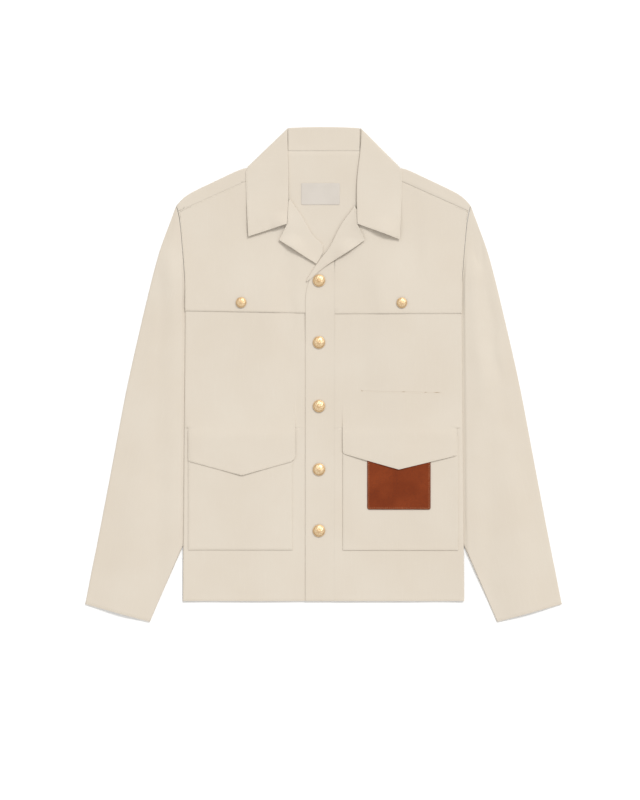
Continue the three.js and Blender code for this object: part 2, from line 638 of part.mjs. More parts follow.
buildBack();
SIDES.forEach(buildSleeve);
SIDES.forEach(buildUpperFront);
SIDES.forEach(buildLowerFront);
SIDES.forEach(buildLowerPocket);
SIDES.forEach(buildYoke);
buildPlacket();
SIDES.forEach(buildLapel);
buildStand();
buildCollar();
buildPatch();
buildLabel();
FRONT_BUTTONS.ys.forEach((y, i) => {
  const { x, radius, firstLift } = FRONT_BUTTONS;
  const ground = topOf(2 + placketRise(y), x, y) + (i === 0 ? firstLift : 0);
  buildButton(`button_${i + 1}`, radius, x, y, ground);
});
CHEST_BUTTONS.forEach(({ side, name, x, y }) => {
  buildButton(`chest_button_${name}`, CHEST_BUTTON_RADIUS, x, y, topOf(1 + yokeRise(y), x, y, side));
});

export default group;
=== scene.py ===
import math

import bmesh
import bpy
from mathutils import Matrix, Vector, noise
from mathutils.bvhtree import BVHTree
from mathutils.kdtree import KDTree


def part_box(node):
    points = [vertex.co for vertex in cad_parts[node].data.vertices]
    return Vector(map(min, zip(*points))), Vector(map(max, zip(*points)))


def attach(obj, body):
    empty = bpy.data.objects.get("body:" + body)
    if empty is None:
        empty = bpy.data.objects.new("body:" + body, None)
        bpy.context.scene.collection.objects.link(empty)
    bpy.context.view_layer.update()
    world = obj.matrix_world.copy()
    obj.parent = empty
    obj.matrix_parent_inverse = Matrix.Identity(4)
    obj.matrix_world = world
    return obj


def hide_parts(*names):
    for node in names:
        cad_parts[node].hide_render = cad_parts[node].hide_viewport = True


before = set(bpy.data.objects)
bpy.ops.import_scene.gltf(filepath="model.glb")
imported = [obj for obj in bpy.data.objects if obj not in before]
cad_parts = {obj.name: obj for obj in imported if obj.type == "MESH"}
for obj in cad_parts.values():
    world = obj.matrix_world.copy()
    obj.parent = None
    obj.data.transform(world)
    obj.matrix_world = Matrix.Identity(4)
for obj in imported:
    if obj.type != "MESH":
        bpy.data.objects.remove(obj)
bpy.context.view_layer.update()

# A work jacket laid flat on its back. Lengths here are millimetres, +X the wearer's left, +Y the collar.
MM = 0.001
WALL = 1.0             # thickness of one cloth
EDGE_ROUND = 0.3       # how far a turned cloth edge is rounded off
HEM_Y = -361
YOKE_Y = 101
SLIT_Y = -84
FRONT_EDGE_X = -29
PLACKET_X = 17.6
ARMHOLE_Y = 150
SIDE_LINE = [(-361, 225), (95, 221), (150, 221), (200, 225), (250, 229.5)]     # height, side edge of the body
STITCH_PITCH = 3.3
STITCH_INSET = 2.2     # edge stitching, in from the edge of the cloth

# Cloth pieces: the CAD node, the cut in millimetres, the share of that rectangle which is cloth, the
# levels of subdivision and what it lies on
CLOTH = [
    {"node": "back", "cut": (470, 745), "share": 0.93, "levels": 2, "on": ()},
    {"node": "sleeve_right", "cut": (320, 680), "share": 0.77, "levels": 3, "on": ()},
    {"node": "sleeve_left", "cut": (320, 680), "share": 0.77, "levels": 3, "on": ()},
    {"node": "front_right", "cut": (213, 275), "share": 0.9, "levels": 3, "on": ("back",)},
    {"node": "front_left", "cut": (206, 265), "share": 0.9, "levels": 3, "on": ("back",)},
    {"node": "lower_front_right", "cut": (214, 278), "share": 1.0, "levels": 3, "on": ("back",)},
    {"node": "lower_front_left", "cut": (208, 278), "share": 1.0, "levels": 3, "on": ("back",)},
    {"node": "yoke_right", "cut": (234, 213), "share": 0.8, "levels": 3, "on": ("back",)},
    {"node": "yoke_left", "cut": (214, 213), "share": 0.8, "levels": 3, "on": ("back",)},
    {"node": "placket", "cut": (47, 573), "share": 0.95, "levels": 3, "on": ("lower_front_right",)},
    {"node": "lapel_right", "cut": (56, 115), "share": 0.55, "levels": 3, "on": ("yoke_right",)},
    {"node": "lapel_left", "cut": (56, 140), "share": 0.45, "levels": 3, "on": ("yoke_left",)},
    {"node": "collar_stand", "cut": (113, 36.5), "share": 1.0, "levels": 3, "on": ("back",)},
    {"node": "collar", "cut": (470, 80), "share": 0.82, "levels": 3, "on": ("yoke_right", "yoke_left")},
    {"node": "lower_pocket_right", "cut": (167, 183), "share": 1.0, "levels": 3, "on": ("lower_front_right",)},
    {"node": "lower_pocket_left", "cut": (185, 183), "share": 1.0, "levels": 3, "on": ("lower_front_left",)},
    {"node": "leather_patch", "cut": (101, 85), "share": 1.0, "levels": 3, "on": ("lower_pocket_left",)},
    {"node": "neck_label", "cut": (62, 35), "share": 1.0, "levels": 3, "on": ("back",)},
]
# Where two pieces are sewn edge to edge, as boxes: their edges close up there, with no groove between
SEAMS = [
    {"x0": PLACKET_X - 2, "x1": PLACKET_X + 2, "y0": HEM_Y - 2, "y1": 216},
    {"x0": -230, "x1": -217, "y0": SLIT_Y - 2, "y1": SLIT_Y + 2},
    {"x0": -44, "x1": 20, "y0": SLIT_Y - 2, "y1": SLIT_Y + 2},
    {"x0": PLACKET_X - 2, "x1": 29.5, "y0": SLIT_Y - 2, "y1": SLIT_Y + 2},
    {"x0": 214, "x1": 230, "y0": SLIT_Y - 2, "y1": SLIT_Y + 2},
    {"x0": -228, "x1": -127, "y0": 258, "y1": 318},
]
SEAM_CLOSE = 0.11      # how far each edge moves towards the other

# Edges that lie flat: the piece, the part of its outline by its limits, how far the edge is pressed down,
# how far into the cloth that is felt, and how much thinner the cloth gets at the edge
FAR = 1000
PRESSED = [
    {"node": "yoke_right", "x": (-FAR, FAR), "y": (0, 106), "down": 0.05, "reach": 5, "thin": 0.62},
    {"node": "yoke_left", "x": (-FAR, FAR), "y": (0, 106), "down": 0.16, "reach": 5, "thin": 0.62},
    {"node": "yoke_left", "x": (90, FAR), "y": (240, 330), "down": 0.1, "reach": 5, "thin": 0.3},
    {"node": "lower_pocket_right", "x": (-FAR, FAR), "y": (-FAR, -105), "down": 0.1, "reach": 5, "thin": 0.4},
    {"node": "lower_pocket_left", "x": (-FAR, FAR), "y": (-FAR, -105), "down": 0.0, "reach": 5, "thin": 0.4},
    {"node": "front_right", "x": (-FAR, -214), "y": (-150, -84.5), "down": 0.3, "reach": 7, "thin": 0.7},
    {"node": "front_left", "x": (210, FAR), "y": (-150, -84.5), "down": 0.3, "reach": 7, "thin": 0.7},
    {"node": "leather_patch", "x": (-FAR, FAR), "y": (-FAR, -140), "down": 0.0, "reach": 5, "thin": 0.3},
    {"node": "neck_label", "x": (-FAR, FAR), "y": (0, FAR), "down": 0.1, "reach": 4, "thin": 0.1},
    {"node": "collar", "x": (-FAR, -112), "y": (246, 332), "down": 0.2, "reach": 16, "thin": 0.5},
    {"node": "collar", "x": (112, FAR), "y": (246, 332), "down": 0.2, "reach": 16, "thin": 0.5},
    {"node": "collar", "x": (-70, 70), "y": (246, 390), "down": 0.2, "reach": 8, "thin": 0.6},
    {"node": "lapel_right", "x": (-54, 20), "y": (196, 290), "down": 0.1, "reach": 8, "thin": 0.6},
    {"node": "lapel_left", "x": (-30, 51), "y": (140, 280), "down": 0.1, "reach": 8, "thin": 0.6},
]
THIN_REACH = 1.8       # from the edge inwards, where the cloth gets thinner

# Free corners and edges that stand off the cloth below: the piece, the place, how far around and how high
STAND_OFFS = [
    {"node": "front_left", "x": 120, "y": -148, "reach": 55, "lift": 1.2},
    {"node": "front_right", "x": -130, "y": -157, "reach": 55, "lift": 1.0},
    {"node": "collar", "x": -66, "y": 240, "reach": 24, "lift": 3.4},
    {"node": "collar", "x": 96, "y": 226, "reach": 32, "lift": 4.0},
    {"node": "lapel_right", "x": -52, "y": 203, "reach": 26, "lift": 3.6},
    {"node": "lapel_left", "x": 36, "y": 195, "reach": 26, "lift": 2.8},
]
ROUND_CORNERS = {"leather_patch": 3.0, "neck_label": 2.0}
SIDE_RISE = {"lift": 2.5, "from": 1.2, "full": 6, "back": 14, "end": 46}     # of a sleeve beside the body
# The lower edges of the yokes aren't quite level: how far they lie above YOKE_Y beside the front and the sleeve
YOKE_SLANT = {"yoke_right": {"inner": -2.2, "outer": 1.6}, "yoke_left": {"inner": -3.0, "outer": -2.4}}
ARCH = {"rise": 2.0, "halfWidth": 62, "from": 362, "full": 393}               # of the top of the collar

TURNED_CORNER = 15     # an outline that turns more than this in one step keeps its corner, in degrees
WALLS = {"collar_stand": 0.9, "neck_label": 0.6}     # the pieces that are not one WALL thick
RIM_TOLERANCE = 2e-6

# Creases of the laid jacket. Each runs from one point to another. The rise is the share of the height
# there that it adds, the lift is how far it also raises the back off the floor, and a crease is
# steeper on one side, by its lean.
CREASES = [
    {"x0": -60, "y0": 205, "x1": -56, "y1": 20, "width": 15, "rise": -0.24, "lift": 0, "lean": 0.4},
    {"x0": -84, "y0": 200, "x1": -76, "y1": 40, "width": 26, "rise": 0.1, "lift": 0.4, "lean": -0.2},
    {"x0": 143, "y0": 300, "x1": 147, "y1": 165, "width": 19, "rise": -0.24, "lift": 0, "lean": 0.3},
    {"x0": 62, "y0": 195, "x1": 60, "y1": -30, "width": 14, "rise": -0.07, "lift": 0, "lean": 0.3},
    {"x0": 96, "y0": 180, "x1": 90, "y1": 0, "width": 22, "rise": 0.08, "lift": 0.3, "lean": -0.3},
    {"x0": -150, "y0": 60, "x1": -120, "y1": -70, "width": 36, "rise": -0.03, "lift": 0, "lean": 0.2},
    {"x0": 30, "y0": -90, "x1": 26, "y1": -300, "width": 12, "rise": -0.1, "lift": 0, "lean": 0.2},
    {"x0": -40, "y0": -130, "x1": -42, "y1": -310, "width": 11, "rise": -0.1, "lift": 0, "lean": -0.2},
    {"x0": 195, "y0": -150, "x1": 203, "y1": -300, "width": 20, "rise": -0.09, "lift": 0, "lean": 0.1},
    {"x0": -180, "y0": -180, "x1": -196, "y1": -330, "width": 26, "rise": -0.06, "lift": 0.2, "lean": 0.1},
    {"x0": 242, "y0": 241, "x1": 254, "y1": 170, "width": 13, "rise": -0.42, "lift": 0, "lean": 0.3},
    {"x0": 254, "y0": 170, "x1": 281, "y1": -10, "width": 15, "rise": -0.42, "lift": 0, "lean": 0.35},
    {"x0": 284, "y0": -20, "x1": 292, "y1": -90, "width": 20, "rise": -0.14, "lift": 0, "lean": 0.2},
    {"x0": 250, "y0": 60, "x1": 262, "y1": -60, "width": 16, "rise": 0.16, "lift": 0.3, "lean": -0.2},
    {"x0": -250, "y0": 170, "x1": -262, "y1": 20, "width": 17, "rise": -0.2, "lift": 0, "lean": -0.3},
    {"x0": -262, "y0": 20, "x1": -272, "y1": -120, "width": 24, "rise": -0.12, "lift": 0, "lean": -0.2},
    {"x0": -244, "y0": -110, "x1": -262, "y1": -190, "width": 18, "rise": -0.14, "lift": 0, "lean": 0.2},
    {"x0": -240, "y0": 262, "x1": -262, "y1": 205, "width": 9, "rise": -0.2, "lift": 0, "lean": 0.2},
    {"x0": 300, "y0": -150, "x1": 330, "y1": -300, "width": 24, "rise": 0.12, "lift": 0.3, "lean": 0.1},
    {"x0": -300, "y0": -170, "x1": -322, "y1": -300, "width": 26, "rise": 0.1, "lift": 0.3, "lean": 0.1},
    {"x0": -60, "y0": 60, "x1": -110, "y1": -250, "width": 30, "rise": 0, "lift": 0.9, "lean": 0.3},
    {"x0": 70, "y0": 250, "x1": 40, "y1": 60, "width": 34, "rise": 0, "lift": 0.7, "lean": -0.2},
    {"x0": 130, "y0": 20, "x1": 110, "y1": -220, "width": 32, "rise": 0, "lift": 0.8, "lean": -0.3},
    {"x0": -150, "y0": 260, "x1": -135, "y1": 120, "width": 26, "rise": 0, "lift": 0.6, "lean": 0.2},
]
UNEVEN = 0.35          # how much a crease's depth changes along it
CREASE_WANDER = 8      # how far a crease strays from its straight line
DEPTH = 1.5            # of all creases, times their rise
FLATTEST = 0.62        # the largest share of its height that the jacket loses in a trough
ROLLING = 0.03         # share of the height in the slow waves between the creases


# Numbers
def ease(value, start, end):
    t = min(1.0, max(0.0, (value - start) / (end - start)))
    return t * t * (3 - 2 * t)


def along_table(table, y):
    """The value of a table of (y, value) rows at y, straight between its rows."""
    for (low, start), (high, end) in zip(table, table[1:]):
        if y <= high:
            return start + (end - start) * min(1.0, max(0.0, (y - low) / (high - low)))
    return table[-1][1]


def crease_depth(x, y, crease):
    """How much of a crease is felt at a point: most on its line, less beside it and past its ends."""
    along = Vector((crease["x1"] - crease["x0"], crease["y1"] - crease["y0"]))
    away = Vector((x - crease["x0"], y - crease["y0"]))
    share = away.dot(along) / along.length_squared
    gap = (along.y * away.x - along.x * away.y) / along.length
    gap += CREASE_WANDER * noise.noise(Vector((x / 70, y / 70, crease["width"])))
    width = crease["width"] * (1 + crease["lean"] * math.tanh(gap / crease["width"]))
    across = math.exp(-((gap / width) ** 2))
    taper = ease(share, -0.25, 0.3) * ease(share, 1.25, 0.7)
    uneven = 1 + UNEVEN * noise.noise(Vector((y / 45, x / 90, crease["width"])))
    return across * taper * uneven


def laid(point):
    """Where a point of the pressed jacket comes to lie: creases scale its height, and some lift it."""
    x, y, z = point / MM
    rise = ROLLING * noise.noise(Vector((x / 85, y / 110, 3.0)))
    lift = 0.0
    for crease in CREASES:
        depth = crease_depth(x, y, crease)
        rise += DEPTH * crease["rise"] * depth
        lift += crease["lift"] * depth
    bow = ARCH["rise"] * ease(y, ARCH["from"], ARCH["full"]) * max(0, 1 - (x / ARCH["halfWidth"]) ** 2)
    return Vector((x, y + bow, z * (1 + max(rise, -FLATTEST)) + lift)) * MM


# Objects
def deselect():
    for thing in bpy.context.selected_objects:
        thing.select_set(False)


def choose(piece):
    deselect()
    piece.select_set(True)
    bpy.context.view_layer.objects.active = piece


def new_piece(name, mesh):
    piece = bpy.data.objects.new(name, mesh)
    bpy.context.scene.collection.objects.link(piece)
    return piece


def finish_modifier(piece, kind, **settings):
    choose(piece)
    modifier = piece.modifiers.new(kind.title(), kind)
    for key, value in settings.items():
        setattr(modifier, key, value)
    bpy.ops.object.modifier_apply(modifier=modifier.name)


def smooth_by_angle(piece, degrees):
    choose(piece)
    bpy.ops.object.shade_smooth_by_angle(angle=math.radians(degrees))


def dress(piece, material):
    piece.data.materials.clear()
    piece.data.materials.append(material)
    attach(piece, "root")
    return piece


# Cloth
def sheet_parts(shape, wall):
    """The faces on each side of a wall. A face of its rim has an edge that is just the wall's thickness."""
    rim = {
        face for face in shape.faces
        if any(abs(edge.calc_length() - wall) < RIM_TOLERANCE for edge in face.edges)
    }
    left = set(shape.faces) - rim
    parts = []
    while left:
        waiting = [left.pop()]
        part = set(waiting)
        while waiting:
            for edge in waiting.pop().edges:
                for other in edge.link_faces:
                    if other in left:
                        left.discard(other)
                        part.add(other)
                        waiting.append(other)
        parts.append(part)
    return parts


def one_sheet(node, name, wall):
    """One side of a CAD wall, merged and in quads: the cloth that Solidify makes a wall of again."""
    shape = bmesh.new()
    shape.from_mesh(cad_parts[node].data)
    bmesh.ops.remove_doubles(shape, verts=shape.verts, dist=RIM_TOLERANCE)
    parts = sheet_parts(shape, wall)
    largest = max(parts, key=lambda part: sum(face.calc_area() for face in part))
    others = [face for face in shape.faces if face not in largest]
    bmesh.ops.delete(shape, geom=others, context="FACES")
    bmesh.ops.join_triangles(
        shape, faces=shape.faces[:], angle_face_threshold=math.radians(50), angle_shape_threshold=math.pi,
    )
    corner = shape.verts.layers.float.new("crease_vert")
    for vert in shape.verts:
        rim = [edge for edge in vert.link_edges if edge.is_boundary]
        if len(rim) == 2:
            a, b = (edge.other_vert(vert).co - vert.co for edge in rim)
            if math.pi - a.angle(b) > math.radians(TURNED_CORNER):
                vert[corner] = 1.0
    mesh = bpy.data.meshes.new(name)
    shape.to_mesh(mesh)
    shape.free()
    return new_piece(name, mesh)


def rim_loops(piece):
    """The edges of a sheet as closed loops of (point, direction into the cloth)."""
    shape = bmesh.new()
    shape.from_mesh(piece.data)
    left = {edge for edge in shape.edges if edge.is_boundary}
    loops = []
    while left:
        edge = left.pop()
        start, vert = edge.verts
        loop = [start]
        while vert is not start:
            loop.append(vert)
            edge = next(e for e in vert.link_edges if e in left)
            left.discard(edge)
            vert = edge.other_vert(vert)
        loops.append(loop)
    found = []
    for loop in loops:
        points = []
        for i, vert in enumerate(loop):
            along = (loop[(i + 1) % len(loop)].co - loop[i - 1].co).normalized()
            middle = sum((face.calc_center_median() for face in vert.link_faces), Vector())
            inward = middle / len(vert.link_faces) - vert.co
            inward -= along * inward.dot(along)
            points.append((vert.co.copy(), inward.normalized()))
        found.append(points)
    shape.free()
    return found


def along_loop(loop, pitch):
    """Points and inward directions at even steps along one closed loop."""
    steps = []
    carried = 0.0
    for (a, into_a), (b, into_b) in zip(loop, loop[1:] + loop[:1]):
        length = (b - a).length
        while carried < length:
            t = carried / length
            steps.append((a.lerp(b, t), into_a.lerp(into_b, t).normalized()))
            carried += pitch
        carried -= length
    return steps


def mark_edges(piece, loops):
    """Writes on each point how far it is from the sheet's edge, in millimetres."""
    marks = [point for loop in loops for point, _ in along_loop(loop, 1.5 * MM)]
    open_marks = [point for point in marks if not in_seam(point)]
    open_tree = KDTree(len(open_marks))
    for i, point in enumerate(open_marks):
        open_tree.insert(point, i)
    open_tree.balance()
    tree = KDTree(len(marks))
    for i, point in enumerate(marks):
        tree.insert(point, i)
    tree.balance()
    layer = piece.data.attributes.get("edge_mm") or piece.data.attributes.new("edge_mm", "FLOAT", "POINT")
    for vert in piece.data.vertices:
        layer.data[vert.index].value = open_tree.find(vert.co)[2] / MM
    return tree


def in_seam(point):
    x, y, _ = point / MM
    return any(box["x0"] < x < box["x1"] and box["y0"] < y < box["y1"] for box in SEAMS)


def stand_off(node, point):
    """How far a free edge lies above its pressed place, in millimetres."""
    lift = 0.0
    for spot in STAND_OFFS:
        if spot["node"] == node:
            gap = math.hypot(point.x / MM - spot["x"], point.y / MM - spot["y"])
            lift += spot["lift"] * ease(gap, spot["reach"], 0)
    return lift


def side_rise(point):
    """How far the top of a sleeve comes up beside the side edge of the body, in millimetres."""
    x, y, z = point / MM
    beyond = abs(x) - along_table(SIDE_LINE, y)
    near = ease(beyond, SIDE_RISE["from"], SIDE_RISE["full"])
    below = ease(y, ARMHOLE_Y + 60, ARMHOLE_Y)
    far = ease(beyond, SIDE_RISE["end"], SIDE_RISE["back"])
    return SIDE_RISE["lift"] * near * far * below * ease(z, 1.2, 2.4)


def pressing(node, edge):
    """How an edge of a piece is pressed at one of its points, unless it lies on the floor."""
    x, y, z = edge / MM
    if z < 1.5 * WALL:
        return None
    for zone in PRESSED:
        if zone["node"] == node and zone["x"][0] < x < zone["x"][1] and zone["y"][0] < y < zone["y"][1]:
            return zone
    return None


def close_seams(piece):
    """Moves the edges of a sheet that lie in a seam outwards."""
    shape = bmesh.new()
    shape.from_mesh(piece.data)
    moves = []
    for vert in shape.verts:
        if not vert.is_boundary or not in_seam(vert.co):
            continue
        out = Vector()
        for edge in vert.link_edges:
            if edge.is_boundary and in_seam(edge.other_vert(vert).co):
                along = (edge.other_vert(vert).co - vert.co).normalized()
                middle = edge.verts[0].co.lerp(edge.verts[1].co, 0.5)
                away = middle - edge.link_faces[0].calc_center_median()
                out += (away - along * away.dot(along)).normalized()
        if out.length > 0:
            moves.append((vert, out.normalized()))
    for vert, out in moves:
        vert.co += out * SEAM_CLOSE * MM
    shape.to_mesh(piece.data)
    shape.free()


def slant(node, point):
    """How far the lower edge of a yoke is moved up or down, in millimetres."""
    ends = YOKE_SLANT.get(node, {"inner": 0, "outer": 0})
    share = min(1.0, abs(point.x) / MM / SIDE_LINE[0][1])
    return (ends["inner"] + (ends["outer"] - ends["inner"]) * share) * ease(point.y / MM, YOKE_Y + 40, YOKE_Y)


def round_corners(piece, radius):
    """Turns the four square corners of a flat sheet into arcs."""
    low = [min(vert.co[axis] for vert in piece.data.vertices) + radius for axis in (0, 1)]
    high = [max(vert.co[axis] for vert in piece.data.vertices) - radius for axis in (0, 1)]
    for vert in piece.data.vertices:
        centre = Vector((min(max(vert.co.x, low[0]), high[0]), min(max(vert.co.y, low[1]), high[1])))
        reach = vert.co.xy - centre
        if reach.x and reach.y:
            vert.co.xy = centre + reach * max(abs(reach.x), abs(reach.y)) / reach.length


def set_edges(piece, node, rim):
    """Presses the flat edges of a sheet down, lifts its free ones and slants those of the yokes."""
    for vert in piece.data.vertices:
        vert.co.y += slant(node, vert.co) * MM
        edge, _, gap = rim.find(vert.co)
        zone = pressing(node, edge)
        if zone and vert.co.z > 1.5 * WALL * MM:
            vert.co.z -= zone["down"] * ease(gap / MM, zone["reach"], 0) * MM
        vert.co.z += stand_off(node, vert.co) * MM
        if node.startswith("sleeve"):
            vert.co.z += side_rise(vert.co) * MM


def thin_edges(piece, node, rim, count):
    """Lowers the upper side of a wall, its first points, towards the edges that lie flat."""
    for vert in piece.data.vertices[:count]:
        edge, _, gap = rim.find(vert.co)
        zone = pressing(node, edge)
        if zone:
            vert.co.z -= zone["thin"] * ease(gap / MM, THIN_REACH, 0) * MM


def weigh_bevel(piece):
    """Gives every sharp edge of a wall a bevel, but for those in a seam."""
    shape = bmesh.new()
    shape.from_mesh(piece.data)
    weight = shape.edges.layers.float.new("bevel_weight_edge")
    for edge in shape.edges:
        sharp = len(edge.link_faces) == 2 and edge.calc_face_angle() > math.radians(60)
        if sharp and not all(in_seam(vert.co) for vert in edge.verts):
            edge[weight] = 1.0
    shape.to_mesh(piece.data)
    shape.free()


def make_cloth(row):
    """A cloth piece on the form of its CAD node: smooth, creased, one wall thick and with turned edges."""
    node = row["node"]
    wall = WALLS.get(node, WALL) * MM
    piece = one_sheet(node, node + "_cloth", wall)
    finish_modifier(
        piece, "SUBSURF", levels=row["levels"], render_levels=row["levels"],
        boundary_smooth="PRESERVE_CORNERS", use_creases=True,
    )
    for vert in piece.data.vertices:
        vert.co = laid(vert.co)
    set_edges(piece, node, mark_edges(piece, rim_loops(piece)))
    close_seams(piece)
    if node in ROUND_CORNERS:
        round_corners(piece, ROUND_CORNERS[node] * MM)
    loops = rim_loops(piece)
    tree = mark_edges(piece, loops)
    count = len(piece.data.vertices)
    finish_modifier(piece, "SOLIDIFY", thickness=wall, offset=-1, use_rim=True)
    thin_edges(piece, node, tree, count)
    weigh_bevel(piece)
    finish_modifier(
        piece, "BEVEL", width=EDGE_ROUND * MM, segments=2, limit_method="WEIGHT", use_clamp_overlap=True,
    )
    smooth_by_angle(piece, 50)
    surface = bmesh.new()
    surface.from_mesh(piece.data)
    row["piece"] = piece
    row["loops"] = loops
    row["rim"] = tree
    row["surface"] = BVHTree.FromBMesh(surface)
    surface.free()
    return piece


# Stitching
THREAD = 0.32          # radius of the sewing thread


def make_stitch():
    """One stitch 1 long: a short thread whose ends dive into the cloth."""
    deselect()
    bpy.ops.mesh.primitive_cylinder_add(vertices=6, radius=1, depth=1, end_fill_type="NGON")
    stitch = bpy.context.active_object
    bpy.ops.object.mode_set(mode="EDIT")
    bpy.ops.mesh.select_all(action="SELECT")
    bpy.ops.transform.rotate(value=math.pi / 2, orient_axis="Y", center_override=(0, 0, 0))
    for cut in (-0.28, 0.28):
        bpy.ops.mesh.select_all(action="SELECT")
        bpy.ops.mesh.bisect(plane_co=(cut, 0, 0), plane_no=(1, 0, 0))
    bpy.ops.object.mode_set(mode="OBJECT")
    for vert in stitch.data.vertices:
        if abs(vert.co.x) > 0.4:
            vert.co.y *= 0.6
            vert.co.z = vert.co.z * 0.6 - 1.1
    mesh = stitch.data
    corners = [vert.co.copy() for vert in mesh.vertices]
    faces = [tuple(face.vertices) for face in mesh.polygons]
    bpy.data.objects.remove(stitch)
    return corners, faces


def sew(name, stitches, material, length=2.5, thread=THREAD):
    """One mesh of many stitches. Each is a point, the way that the thread runs and the cloth's normal."""
    corners, faces = STITCH
    points = []
    polygons = []
    for place, along, normal in stitches:
        side = normal.cross(along).normalized()
        turn = Matrix((along, side, normal)).transposed()
        base = len(points)
        for corner in corners:
            local = Vector((corner.x * length, corner.y * thread, corner.z * thread)) * MM
            points.append(place + turn @ local)
        polygons.extend(tuple(base + i for i in face) for face in faces)
    mesh = bpy.data.meshes.new(name)
    mesh.from_pydata(points, [], polygons)
    mesh.update()
    piece = new_piece(name, mesh)
    smooth_by_angle(piece, 50)
    return dress(piece, material)


def edge_row(row, keep, inset=STITCH_INSET, pitch=STITCH_PITCH):
    """Places for stitches at one distance in from the edges of a cloth piece, where keep says so."""
    found = []
    for loop in row["loops"]:
        steps = along_loop(loop, pitch * MM)
        for i, (point, inward) in enumerate(steps):
            if not keep(point / MM):
                continue
            place, normal, _, _ = row["surface"].find_nearest(point + inward * inset * MM)
            if place is None or row["rim"].find(place)[2] < 0.93 * inset * MM:
                continue
            along = steps[(i + 1) % len(steps)][0] - point
            along = (along - normal * along.dot(normal)).normalized()
            found.append((place, along, normal))
    return found


def straight_row(row, x0, y0, x1, y1, pitch=STITCH_PITCH):
    """Places for stitches on top of a cloth piece along a straight line."""
    start = Vector((x0, y0, 0)) * MM
    end = Vector((x1, y1, 0)) * MM
    along = (end - start).normalized()
    found = []
    for i in range(int((end - start).length / (pitch * MM)) + 1):
        point = start + along * i * pitch * MM
        place, normal, _, _ = row["surface"].ray_cast(point + Vector((0, 0, 1)), Vector((0, 0, -1)))
        if place is not None:
            level = (along - normal * along.dot(normal)).normalized()
            found.append((place, level, normal))
    return found


# Shader helpers
def new_material(name):
    material = bpy.data.materials.new(name)
    material.use_nodes = True
    tree = material.node_tree
    tree.nodes.clear()
    output = tree.nodes.new("ShaderNodeOutputMaterial")
    shader = tree.nodes.new("ShaderNodeBsdfPrincipled")
    tree.links.new(shader.outputs["BSDF"], output.inputs["Surface"])
    return material, tree, shader


def new_group(name, inputs, outputs):
    """A node group with named sockets; returns the tree, its input node and its output node."""
    tree = bpy.data.node_groups.new(name, "ShaderNodeTree")
    for label, kind, value in inputs:
        socket = tree.interface.new_socket(name=label, in_out="INPUT", socket_type=kind)
        if value is not None:
            socket.default_value = value
    for label, kind in outputs:
        tree.interface.new_socket(name=label, in_out="OUTPUT", socket_type=kind)
    return tree, tree.nodes.new("NodeGroupInput"), tree.nodes.new("NodeGroupOutput")


def place_group(tree, group, vector, **values):
    node = tree.nodes.new("ShaderNodeGroup")
    node.node_tree = group
    tree.links.new(vector, node.inputs["Vector"])
    for label, value in values.items():
        node.inputs[label.replace("_", " ")].default_value = value
    return node


def node(tree, kind, **settings):
    made = tree.nodes.new(kind)
    for key, value in settings.items():
        setattr(made, key, value)
    return made


def math_node(tree, operation, *values):
    made = node(tree, "ShaderNodeMath", operation=operation)
    for socket, value in zip(made.inputs, values):
        if isinstance(value, (int, float)):
            socket.default_value = value
        else:
            tree.links.new(value, socket)
    return made.outputs[0]


def mapped(tree, low, high, value, to_low=0.0, to_high=1.0):
    made = node(tree, "ShaderNodeMapRange")
    tree.links.new(value, made.inputs["Value"])
    made.inputs["From Min"].default_value = low
    made.inputs["From Max"].default_value = high
    made.inputs["To Min"].default_value = to_low
    made.inputs["To Max"].default_value = to_high
    return made.outputs["Result"]


def noise_node(tree, vector, scale, detail=2.0, roughness=0.5):
    made = node(tree, "ShaderNodeTexNoise")
    tree.links.new(vector, made.inputs["Vector"])
    made.inputs["Scale"].default_value = scale
    made.inputs["Detail"].default_value = detail
    made.inputs["Roughness"].default_value = roughness
    return made.outputs["Fac"]


def mix_colour(tree, share, low, high):
    made = node(tree, "ShaderNodeMix", data_type="RGBA")
    tree.links.new(share, made.inputs["Factor"])
    for socket, value in ((made.inputs[6], low), (made.inputs[7], high)):
        if isinstance(value, tuple):
            socket.default_value = value
        else:
            tree.links.new(value, socket)
    return made.outputs[2]


def bump(tree, shader, height, distance, strength=1.0, under=None):
    made = node(tree, "ShaderNodeBump")
    made.inputs["Distance"].default_value = distance
    made.inputs["Strength"].default_value = strength
    tree.links.new(height, made.inputs["Height"])
    if under is not None:
        tree.links.new(under, made.inputs["Normal"])
    if shader is not None:
        tree.links.new(made.outputs["Normal"], shader.inputs["Normal"])
    return made.outputs["Normal"]


def tint(red, green, blue):
    """Linear colour of a screen colour given as 0 to 255."""
    def linear(value):
        share = value / 255
        return share / 12.92 if share <= 0.04045 else ((share + 0.055) / 1.055) ** 2.4
    return (linear(red), linear(green), linear(blue), 1.0)


def shaded(colour, share):
    return tuple(channel * share for channel in colour[:3]) + (1.0,)


